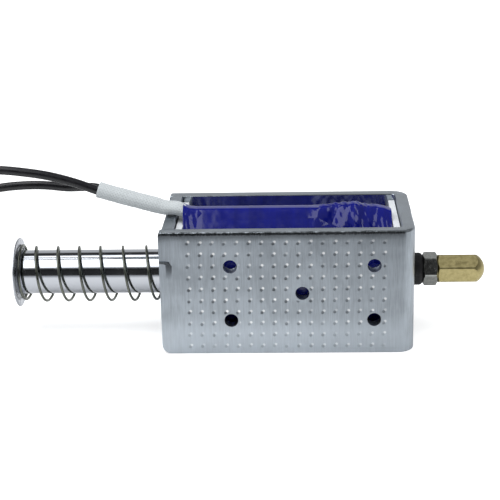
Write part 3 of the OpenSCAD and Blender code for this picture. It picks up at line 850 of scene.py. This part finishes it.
def build_plunger(material):
    """The plunger: one closed profile, with its tapped end, spigot, shoulder, cone and rod hole."""
    left, right = span_x("plunger")
    disc_face = span_x("spring_disc")[1] + 0.05
    body, spigot = radius_of("plunger"), SPIGOT_R
    cone = right - CONE_DEPTH
    thread = np.arange(0.0, 11.0, 0.1)
    wall = thread_wall(thread, 0.14)
    bore = [(left + 12.0, 0.0), *((left + 11.2 - t, r) for t, r in zip(thread, wall)), (left + 0.05, 2.4)]
    outer = [(left, 2.5), (left, spigot - 0.35)] + arc(left + 0.3, spigot - 0.3, 0.3, 180, 90, 5)
    shaft = [(disc_face, spigot), (disc_face, body - 0.3)]
    shaft += arc(disc_face + 0.25, body - 0.25, 0.25, 180, 90, 4)
    nose = [(cone - 0.2, body), (cone, body - 0.25), (cone + 0.02, body - 0.45)]
    nose += [(right - 0.2, 4.85), (right, 4.65)]
    floor = right - ROD_SOCKET_DEPTH
    seat = [(right, 3.1), (right - 0.1, ROD_SOCKET_R), (right - 11.9, ROD_SOCKET_R), (floor, 0.0)]
    piece = turned("plunger_bar", bore + outer + shaft + nose + seat, 128, 25.0, close=False)
    return finish_piece(piece, material, PLUNGER_BODY, "plunger_nickel", "plunger")


def build_disc(material):
    """The spring's disc: a ring with a round outer edge."""
    left, right = span_x("spring_disc")
    outer = radius_of("spring_disc")
    edge = (right - left) / 2
    lean = np.radians(np.linspace(0, 90, 10))
    lip = np.stack([right - 0.42 + 0.42 * np.sin(lean), outer - 1.5 + 1.5 * np.cos(lean)], -1).tolist()
    profile = [(left, 5.25), (left, outer - edge)] + arc(left + edge, outer - edge, edge, 180, 110, 6) + lip
    profile += [(right, 5.25), (right - 0.1, 5.06), (left + 0.1, 5.06)]
    piece = turned("disc", profile, 128, 40.0)
    return finish_piece(piece, material, PLUNGER_BODY, "plunger_nickel", "spring_disc")


def hexagon(name, x0, x1, flats, corners, turn, dome=None, bore_end=None):
    """A hexagon bar with chamfers where a cone meets it, or with a round end.

    At each angle the bar's radius is flats / 2 / cos(angle from the flat's middle), held to corners / 2. Each
    chamfer starts where the 30 degree cone reaches that radius, and the round end where the ball does.
    """
    steps = np.linspace(-30, 30, 25)[:-1]
    angle = np.radians(np.concatenate([steps + 60 * k for k in range(6)]) + turn)
    r = np.minimum(flats / 2 / np.cos(np.tile(np.radians(steps), 6)), corners / 2)
    face = flats / 2 - 0.32
    middle = 0.5 * (ROD_HOLE_R + face)
    cone = (r - face) * math.tan(math.radians(30))
    rows = [(x0, ROD_HOLE_R), (x0, middle), (x0, face), (x0 + cone, r)]
    if dome is None:
        rows += [(x1 - cone, r), (x1, face), (x1, middle), (x1, ROD_HOLE_R)]
    else:
        for share in np.linspace(0, 1, 17):
            lean = np.arcsin(np.clip(r / dome, 0, 1)) * (1 - share)
            rows.append((x1 - dome + dome * np.cos(lean), dome * np.sin(lean)))
        rows += [(bore_end, 0.0), (bore_end, ROD_HOLE_R), rows[0]]
    x, radius = as_grid(rows, r.shape)
    points = np.stack([x, -radius * np.cos(angle), AXIS_Z + radius * np.sin(angle)], -1)
    quads = grid_quads(len(rows), len(angle), dome is None, True)
    if dome is not None:
        tip = (len(rows) - 4) * len(angle)
        quads = np.delete(quads, np.s_[tip : tip + len(angle)], 0)
    return new_piece(name, points.reshape(-1, 3), quads, 12.0)


class SOLENOID_OT_plunger(bpy.types.Operator):
    """Build the plated plunger and its disc, and finish the push rod"""

    bl_idname = "solenoid.plunger"
    bl_label = "Plunger"

    def execute(self, context):
        _, finish = settings()
        nickel = plated_finish("bright_plate", tuple(finish.nickel), 0.07)
        build_plunger(nickel)
        build_disc(plated_finish("bright_plate_disc", tuple(finish.nickel), 0.24))
        paint_node("push_rod", plated_finish("ground_rod", (0.5, 0.51, 0.52), 0.2, 0.2))
        return {"FINISHED"}


class SOLENOID_OT_rod_end(bpy.types.Operator):
    """Build the rubber bumper, the lock nut and the domed cap nut"""

    bl_idname = "solenoid.rod_end"
    bl_label = "Rod end"

    def execute(self, context):
        _, finish = settings()
        left, right = span_x("rubber_bumper")
        outer = radius_of("rubber_bumper")
        profile = [(left, 3.06), (left, outer - 1.1)] + arc(left + 0.9, outer - 0.9, 0.9, 180, 90, 7)
        profile += arc(right - 1.2, outer - 1.2, 1.2, 90, 0, 9)
        profile += [(right - 0.02, outer - 1.6), (right - 0.02, 3.06)]
        rubber = moulded_finish("black_rubber", (0.005, 0.005, 0.006), 0.6, 1.5)
        bumper = turned("bumper", profile, 72, 50.0)
        finish_piece(bumper, rubber, PLUNGER_BODY, "bumper_rubber", "rubber_bumper")
        nut = hexagon("nut", *span_x("lock_nut"), **LOCK_NUT)
        steel = steel_finish("turned_steel", tuple(finish.steel), 0.22, 0.9)
        finish_piece(nut, steel, PLUNGER_BODY, "nut_steel", "lock_nut")
        left, right = span_x("cap_nut")
        cap = hexagon("dome_nut", left, right, **CAP_NUT, bore_end=left + CAP_BORE_DEPTH)
        brass = cap_brass_finish("dull_brass", tuple(finish.cap))
        finish_piece(cap, brass, PLUNGER_BODY, "cap_brass", "cap_nut")
        return {"FINISHED"}


# --- spring


def spring_line():
    """The spring's middle line: X given per half turn, closed turns at both ends.

    The angle goes from the top over the front to the bottom: y = -radius * sin(angle) and
    z = axis + radius * cos(angle).
    """
    left, right = span_x("return_spring")
    half_turns = [-3, -2, -1.5, -1, -0.5, 0, 1, 2, 3, 4, 5, 6, 7, 8, 9, 10, 11, 11.6, 12.3, 13, 13.75]
    stations = [-87.85, -87.75, -87.5, -86.7, -85.1, -82.9, -79.5, -75.7, -72.2, -68.7, -65.1, -61.7]
    stations += [-57.9, -54.2, -50.2, -46.4, -42.9, -41.2, -40.4, -40.05, -39.6]
    u = np.linspace(half_turns[0], half_turns[-1], 420)
    ends = np.clip(np.array(stations), left + WIRE_D / 2, right - WIRE_D / 2)
    x = np.interp(u, half_turns, ends)
    kernel = np.hanning(25)
    padded = np.concatenate([np.full(12, x[0]), x, np.full(12, x[-1])])
    x = np.convolve(padded, kernel / kernel.sum(), "valid")
    radius = radius_of("return_spring") - WIRE_D / 2
    angle = np.pi * u
    sag = 0.75 * np.clip((x - left) / 6, 0, 1) * np.clip((right - x) / 6, 0, 1)
    return np.stack([x, -radius * np.sin(angle), AXIS_Z - sag + radius * np.cos(angle)], -1)


def round_wire_nodes(wire, material):
    """A node group that makes round wire of a mesh's line, and keeps it round while the line is squashed."""
    group = bpy.data.node_groups.new("round_wire", "GeometryNodeTree")
    group.interface.new_socket("Geometry", in_out="INPUT", socket_type="NodeSocketGeometry")
    group.interface.new_socket("Geometry", in_out="OUTPUT", socket_type="NodeSocketGeometry")
    start, end = group.nodes.new("NodeGroupInput"), group.nodes.new("NodeGroupOutput")
    line = group.nodes.new("GeometryNodeMeshToCurve")
    ring = group.nodes.new("GeometryNodeCurvePrimitiveCircle")
    ring.inputs["Resolution"].default_value = 14
    ring.inputs["Radius"].default_value = wire / 2 * MM
    tube = group.nodes.new("GeometryNodeCurveToMesh")
    tube.inputs["Fill Caps"].default_value = True
    smooth = group.nodes.new("GeometryNodeSetShadeSmooth")
    paint = group.nodes.new("GeometryNodeSetMaterial")
    paint.inputs["Material"].default_value = material
    for a, b in (
        (start.outputs[0], line.inputs[0]),
        (line.outputs[0], tube.inputs[0]),
        (ring.outputs[0], tube.inputs[1]),
        (tube.outputs[0], smooth.inputs[0]),
        (smooth.outputs[0], paint.inputs[0]),
        (paint.outputs[0], end.inputs[0]),
    ):
        group.links.new(a, b)
    return group


class SOLENOID_OT_spring(bpy.types.Operator):
    """Build the return spring"""

    bl_idname = "solenoid.spring"
    bl_label = "Spring"

    def execute(self, context):
        _, finish = settings()
        line = spring_line()
        mesh = bpy.data.meshes.new("spring_coil")
        mesh.from_pydata(in_scene(line).tolist(), [(k, k + 1) for k in range(len(line) - 1)], [])
        piece = add_object("spring_coil", mesh)
        material = steel_finish("spring_wire", tuple(finish.wire), 0.3, 0.5)
        finish_piece(piece, material, FRAME_BODY, "spring_wire", "return_spring")
        shape = piece.modifiers.new("round_wire", "NODES")
        shape.node_group = round_wire_nodes(WIRE_D, material)
        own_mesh(piece)
        return {"FINISHED"}


# --- leads


def sleeve_line():
    """The sleeve's middle line and height: under the tape, over the end plate, then up into the air."""
    ridge, plate = AXIS_Z + RIDGE_UP, HEIGHT + 2.2
    route = [
        (12, ridge, 4.9), (0, ridge, 4.9), (-12, ridge, 4.9), (-23, ridge, 4.9), (-28.3, ridge, 4.8),
        (-30.8, ridge + 0.45, 4.5), (-33, ridge + 1.5, 4.2), (-35.4, plate, 4.2), (-39.2, plate + 0.3, 4.6),
        (-42.7, plate + 1.3, 4.9), (-46.5, plate + 2.35, 4.95), (-51, plate + 3.65, 4.95),
        (-56, plate + 5.1, 4.95), (-60.5, plate + 6.5, 4.95),
    ]
    route = smooth_path([(x, RIDGE_Y, z, high) for x, z, high in route], 8)
    return route[:, :3], route[:, 3]


def build_sleeve(material):
    """The woven sleeve: an oval tube along its line, a little uneven, with its wall shown at the open end."""
    line, high = sleeve_line()
    along = distances(line)
    count = 64
    swell = 1 + waves(along, [(0.012, 0.11, 0.4), (0.008, 0.27, 1.9)])[:, None, None]
    high = np.stack([np.ones_like(high), high], -1)[:, None]
    outside = oval(SLEEVE_OUTSIDE, 1.0, count)[None] * swell * high
    inside = oval(SLEEVE_INSIDE, 1.0, count)[None] * swell * (high - [0.0, 0.9])
    side, up = path_frames(line, (0, 1, 0))
    outer, inner = (
        line[:, None] + section[..., :1] * side[:, None] + section[..., 1:] * up[:, None]
        for section in (outside, inside)
    )
    lip = (outer[-1:] + inner[-1:]) / 2 + np.array([-0.18, 0, 0.06])
    points = np.concatenate([outer, lip, inner[::-1]])
    quads = grid_quads(len(points), count, True, True)
    uv = tube_uv(quads, count, np.concatenate([along, [along[-1] + 0.3], along[::-1]]))
    piece = new_piece("sleeve", points.reshape(-1, 3), quads, 60.0, uv)
    return finish_piece(piece, material, FRAME_BODY, "woven_sleeve", "lead_sleeve")


def coil_turns(start_z, end_z):
    """A flat loose coil, clockwise from its left side, that drops one wire's width in its second half turn."""
    a = np.linspace(0, COIL_TURNS * 2 * np.pi, int(COIL_TURNS * 40) + 1)[::4]
    drop = np.clip((a - np.pi) / np.pi, 0, 1)
    z = start_z + (end_z - start_z) * (drop * drop * (3 - 2 * drop))
    return np.stack([COIL_CENTRE[0] - COIL_R * np.cos(a), COIL_CENTRE[1] + COIL_R * np.sin(a), z], -1)


LEAD_D = 2.85
COIL_CENTRE = (-120.0, 16.0)
COIL_R = 16.0
COIL_TURNS = 1.5
FRONT_Y, REAR_Y = -4.48, -1.52
IN_SLEEVE = [(-35.5, 43.25), (-39.2, 43.35), (-42.7, 44.15), (-46.5, 45.15), (-51, 46.45), (-56, 47.95)]
FRONT_ROUTE = [(x, FRONT_Y, z) for x, z in IN_SLEEVE] + [
    (-61, -4.48, 49.55), (-68, -4.6, 52.2), (-76, -4.8, 54.5), (-84, -5, 55.9), (-92, -5, 56.7),
    (-101, -5, 56.6), (-111, -5, 54.4), (-121, -5, 49.4), (-129, -5, 41.5), (-134, -5, 31.5), (-136, -5, 21),
    (-136, -4, 13), (-136, -0.5, 7.4), (-136, 5, 4.9), (-136, 10.5, 4.3),
]
REAR_ROUTE = [(x, REAR_Y, z) for x, z in IN_SLEEVE] + [
    (-61, -1.52, 49.45), (-65.5, -1, 49.7), (-71, -0.2, 49.4), (-78.7, 0, 50.1), (-86, 0.3, 50),
    (-93.5, 0.6, 49.2), (-102, 1.2, 47.4), (-111, 2.4, 44.2), (-120.5, 4, 38.8), (-128.5, 5.6, 31.5),
    (-133.5, 7, 24), (-136, 8, 17.5), (-136, 9.4, 13), (-136, 12, 10.7),
]
FRONT_TAIL = [(-104, 9, 1.5), (-103.8, 2, 1.5), (-103.4, -4, 1.5)]
REAR_TAIL = [
    (-104, 10, 7.3), (-103.9, 6, 7), (-105, 1.5, 5.2), (-107, -2.8, 2.9), (-109, -7, 1.6),
    (-110.5, -10.5, 1.5),
]


def build_lead(name, route, heights, tail, material, nodes):
    """One insulated lead as a round tube along its whole line.

    The line is the listed route, its turns of coil between the two heights, then its tail.
    """
    line = smooth_path(np.concatenate([route, coil_turns(*heights), tail]), 5)
    piece = swept(name, line, oval(LEAD_D, LEAD_D, 24), (0, 1, 0))
    finish_piece(piece, material, FRAME_BODY, "lead_insulation", *nodes)


def build_tail(name, y, material, nodes=()):
    """The stretch of a lead in the sleeve, from its splice under the tape to where the cord starts."""
    start = span_x("lead_tails")[1]
    inside = [(x, y, z) for x, _, z in sleeve_line()[0] if IN_SLEEVE[0][0] <= x < start]
    line = np.array([(start, y, AXIS_Z + RIDGE_UP), *inside])
    piece = swept(name, line, oval(LEAD_D, LEAD_D, 20), (0, 1, 0))
    return finish_piece(piece, material, FRAME_BODY, "lead_insulation", *nodes)


def build_tip(name, tail, material, nodes=()):
    """A bare tinned end, straight on from its lead, its end rounded off."""
    last, before = np.array(tail[-1]), np.array(tail[-2])
    way = (last - before) / np.linalg.norm(last - before)
    steps = np.array([-0.6, 0, 1, 2, 3, 4, 5, 6, 7, 7.6, 7.9, 8.0])
    size = np.array([1, 1, 1, 1, 1, 1, 1, 1, 1, 0.95, 0.75, 0.35])
    section = oval(1.3, 1.3, 20)[None] * size[:, None, None]
    piece = swept(name, last + steps[:, None] * way, section, (1, 0, 0))
    return finish_piece(piece, material, FRAME_BODY, "tinned_copper", *nodes)


def build_tie(material):
    """A thin band round both coils at their right side: a rounded loop, 2.4 mm wide."""
    low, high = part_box("lead_tie")
    x0, x1 = low.x / MM - MID_X + 0.3, high.x / MM - MID_X - 0.3
    y0, y1, z1 = low.y / MM, high.y / MM, high.z / MM - 0.3
    z0, r = 0.35, 1.2
    centres = [(x1 - r, z1 - r, 0), (x0 + r, z1 - r, 90), (x0 + r, z0 + r, 180), (x1 - r, z0 + r, 270)]
    loop = np.concatenate([arc(cx, cz, r, a, a + 90, 7) for cx, cz, a in centres])
    middle = loop.mean(0)
    out = loop - middle
    out /= np.linalg.norm(out, axis=1)[:, None]
    band = []
    section = [(0.28, y0 + 0.15), (0.28, y1 - 0.15), (0.12, y1), (-0.28, y1), (-0.28, y0), (0.12, y0)]
    for push, y in section:
        p = loop + out * push
        band.append(np.stack([p[:, 0], np.full(len(p), y), p[:, 1]], -1))
    points = np.stack(band, 1)
    piece = new_piece("tie_band", points.reshape(-1, 3), grid_quads(len(loop), 6, True, True), 40.0)
    return finish_piece(piece, material, FRAME_BODY, "tie_plastic", "lead_tie")


class SOLENOID_OT_leads(bpy.types.Operator):
    """Build the woven sleeve, both leads with their loose coils, their bare ends and the tie"""

    bl_idname = "solenoid.leads"
    bl_label = "Leads"

    def execute(self, context):
        sizes, finish = settings()
        glass = weave_finish("woven_glass", tuple(finish.sleeve), sizes.weave_count, sizes.weave_pitch)
        sleeve = build_sleeve(glass)
        black = insulation_finish("black_insulation", tuple(finish.black))
        tin = strand_finish("tinned_strands", (0.6, 0.6, 0.58))
        front_tip = build_tip("front_tip", FRONT_TAIL, tin, ["lead_tips"])
        rear_tip = build_tip("rear_tip", REAR_TAIL, tin)
        tie = build_tie(moulded_finish("tie_band", (0.02, 0.02, 0.022), 0.4))
        near, far = ["front_lead", "front_lead_coil"], ["rear_lead", "rear_lead_coil"]
        build_lead("lead_near", FRONT_ROUTE, (4.3, 1.45), FRONT_TAIL, black, near)
        build_lead("lead_far", REAR_ROUTE, (10.1, 7.25), REAR_TAIL, black, far)
        build_tail("tail_near", FRONT_Y, black, ["lead_tails"])
        build_tail("tail_far", REAR_Y, black)
        return {"FINISHED"}


# --- stage


CAMERA_STAND = (5.61, -408.83, 167.15)
CAMERA_TURN = (-2.518, 18.871, -1.326)
CAMERA_SENSOR, CAMERA_LENS = 36.0, 94.97


def studio_world():
    """White to the camera.

    To glossy surfaces: a dark room behind the camera, a pale wall behind the part, and a soft box overhead on
    the left.
    """
    world = bpy.data.worlds.new("studio")
    bpy.context.scene.world = world
    world.use_nodes = True
    w = Nodes(world.node_tree)

    def between(low, high, soft):
        return w.times(w.ramp(degrees, low - soft, low + soft), w.ramp(degrees, high + soft, high - soft))

    def background(colour, strength):
        return w.add("Background", {"Color": (*colour, 1), "Strength": strength}).outputs[0]

    x, y, z = w.split(w.add("TexCoord").outputs["Generated"])
    degrees = w.times(w.math("ARCTAN2", z, w.times(y, -1.0)), 180 / math.pi)
    room = between(-3.0, 35.0, 3.0)
    box = w.times(between(42.0, 112.0, 4.0), w.ramp(x, -0.085, -0.1))
    seam = between(118.0, 138.0, 4.0)
    above = between(25.0, 140.0, 8.0)
    level = w.plus(0.62, w.times(above, -0.34))
    level = w.times(level, w.minus(1.0, w.times(seam, 0.85)))
    level = w.times(level, w.minus(1.0, w.times(room, 0.95)))
    level = w.plus(level, w.times(box, 2.4))
    light = w.add("LightPath").outputs
    plain, shine = background((1, 1, 1), 0.8), background((0.97, 0.985, 1), level)
    first = w.add("MixShader", {0: light["Is Glossy Ray"], 1: plain, 2: shine}).outputs[0]
    both = w.add("MixShader", {0: light["Is Camera Ray"], 1: first, 2: background((1, 1, 1), 1.0)})
    w.add("OutputWorld", {0: both.outputs[0]})


def floor_finish():
    """A pale table top that keeps the part's shadow, painted darker towards the front as shade for the part's
    reflections.
    """
    pale = (0.82, 0.83, 0.84)
    f = Finish("pale_floor", pale, 0.0, 0.8, Specular_IOR_Level=0.1)
    y = f.split(f.where())[1]
    # Painted shade: the floor darkens towards the front, so the glossy parts reflect a darker room.
    f.colour(f.blend(f.ramp(y, -60.0, -170.0), pale, (0.32, 0.33, 0.35)))
    strength = f.times(f.add("LightPath").outputs["Is Camera Ray"], 0.5)
    glow = f.add("Emission", {"Color": (1, 1, 1, 1), "Strength": strength})
    both = f.add("AddShader", {0: f.shader.outputs[0], 1: glow.outputs[0]})
    f.tree.links.new(both.outputs[0], f.output.inputs[0])
    return f.material


def camera_place():
    """The camera's matrix: where it stands, and how it is turned, tipped down and rolled."""
    yaw, pitch, roll = (math.radians(v) for v in CAMERA_TURN)
    ahead = np.array([math.sin(yaw) * math.cos(pitch), math.cos(yaw) * math.cos(pitch), -math.sin(pitch)])
    right = np.cross(ahead, [0, 0, 1])
    right /= np.linalg.norm(right)
    up = np.cross(right, ahead)
    across = right * math.cos(roll) + up * math.sin(roll)
    upright = -right * math.sin(roll) + up * math.cos(roll)
    place = Matrix(np.stack([across, upright, -ahead], -1).tolist()).to_4x4()
    place.translation = in_scene(CAMERA_STAND)
    return place


class SOLENOID_OT_stage(bpy.types.Operator):
    """Set up the pale floor, the soft studio light and the camera"""

    bl_idname = "solenoid.stage"
    bl_label = "Stage"

    def execute(self, context):
        scene = context.scene
        scene.view_settings.view_transform = "Standard"
        mesh = bpy.data.meshes.new("floor")
        mesh.from_pydata([(-2.5, -0.26, 0), (2.5, -0.26, 0), (2.5, 4, 0), (-2.5, 4, 0)], [], [(0, 1, 2, 3)])
        mesh.materials.append(floor_finish())
        add_object("floor", mesh)
        studio_world()
        lamp = bpy.data.lights.new("top_softbox", "AREA")
        lamp.shape, lamp.size, lamp.size_y, lamp.energy = "RECTANGLE", 0.9, 0.7, 5.0
        softbox = add_object("top_softbox", lamp)
        softbox.matrix_world = Matrix.Translation((-0.15, -0.1, 0.8))
        softbox.visible_glossy = False
        camera = bpy.data.cameras.new("camera")
        camera.sensor_width, camera.lens = CAMERA_SENSOR, CAMERA_LENS
        scene.camera = add_object("camera", camera)
        scene.camera.matrix_world = camera_place()
        return {"FINISHED"}


class SOLENOID_PT_panel(bpy.types.Panel):
    """Lists the pieces and their settings"""

    bl_label = "Solenoid"
    bl_idname = "SOLENOID_PT_panel"
    bl_space_type = "VIEW_3D"
    bl_region_type = "UI"
    bl_category = "Solenoid"

    def draw(self, context):
        for group in settings():
            box = self.layout.box()
            for key in type(group).__annotations__:
                box.prop(group, key)
        for step in OPERATORS:
            self.layout.operator(step.bl_idname)


OPERATORS = (
    SOLENOID_OT_yoke,
    SOLENOID_OT_coil,
    SOLENOID_OT_plunger,
    SOLENOID_OT_spring,
    SOLENOID_OT_rod_end,
    SOLENOID_OT_leads,
    SOLENOID_OT_stage,
)
CLASSES = (SolenoidSizes, SolenoidFinish, *OPERATORS, SOLENOID_PT_panel)


def register():
    """Adds the settings, operators and panel."""
    for item in CLASSES:
        bpy.utils.register_class(item)
    bpy.types.Scene.solenoid_sizes = bpy.props.PointerProperty(type=SolenoidSizes)
    bpy.types.Scene.solenoid_finish = bpy.props.PointerProperty(type=SolenoidFinish)


def unregister():
    """Takes them away again."""
    del bpy.types.Scene.solenoid_sizes
    del bpy.types.Scene.solenoid_finish
    for item in reversed(CLASSES):
        bpy.utils.unregister_class(item)


def main():
    """Builds every piece and the stage."""
    register()
    for step in OPERATORS:
        getattr(bpy.ops.solenoid, step.bl_idname.split(".")[1])()
    bpy.context.view_layer.update()


if __name__ == "__main__":
    main()
